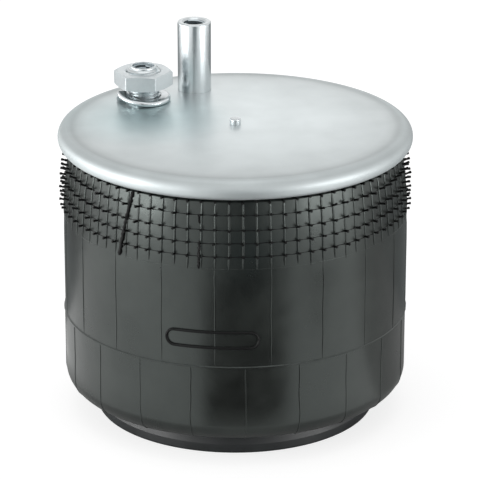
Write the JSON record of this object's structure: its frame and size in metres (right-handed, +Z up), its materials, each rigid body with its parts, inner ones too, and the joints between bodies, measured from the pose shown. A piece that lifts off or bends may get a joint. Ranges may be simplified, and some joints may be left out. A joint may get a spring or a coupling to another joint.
{
  "type": "rolling-lobe air spring",
  "caption": "Vehicle rolling-lobe air spring: rubber bellows crimped to a steel bead plate with threaded studs, rolling down a moulded piston.",
  "frame": {"origin": "centre of the piston's foot, on the axis, where the spring stands", "axes": "+Z up along the spring's axis, out of the bead plate; -Y towards the viewer of the picture; the mounting stud and the air inlet are at the back (+Y, -X)"},
  "size_m": [0.23, 0.23, 0.2393],
  "materials": {
    "zinc_plate": "satin zinc-plated pressed steel",
    "zinc_turned": "bright zinc-plated turned steel",
    "bead_wire": "drawn steel wire bundle",
    "bellows_rubber": "moulded rubber, semi-matt",
    "bump_rubber": "moulded rubber, matt",
    "piston_moulding": "injection-moulded glass-filled polyamide"
  },
  "bodies": {
    "piston": {"piston_shell": "piston_moulding", "piston_base": "piston_moulding", "mounting_insert": "zinc_turned", "closure_plate": "zinc_plate", "bolt_insert": "zinc_turned", "bump_stop_retainer": "zinc_turned", "closure_washer": "zinc_turned", "closure_bolt": "zinc_turned", "bump_stop": "bump_rubber", "bellows_inner_leg": "bellows_rubber", "bellows_lower_bead": "bellows_rubber", "lower_bead_wire": "bead_wire"},
    "lobe": {"bellows_fold": "bellows_rubber"},
    "plate": {"bead_plate": "zinc_plate", "mounting_stud": "zinc_turned", "air_inlet": "zinc_turned", "inlet_nut": "zinc_turned", "lock_washer": "zinc_turned", "locating_pin": "zinc_turned", "upper_bead_wire": "bead_wire", "bellows_wall": "bellows_rubber", "bellows_rolling_wall": "bellows_rubber"}
  },
  "joints": [
    {"name": "lobe_roll", "type": "slide", "parent": "piston", "child": "lobe", "axis": [0, 0, 1], "range_m": [0, 0.076], "deforming": ["bellows_inner_leg"]},
    {"name": "plate_rise", "type": "slide", "parent": "lobe", "child": "plate", "axis": [0, 0, 1], "range_m": [0, 0.076], "deforming": ["bellows_rolling_wall"]}
  ],
  "couplings": [
    {"joint": "plate_rise", "follows": "lobe_roll", "ratio": 1}
  ]
}
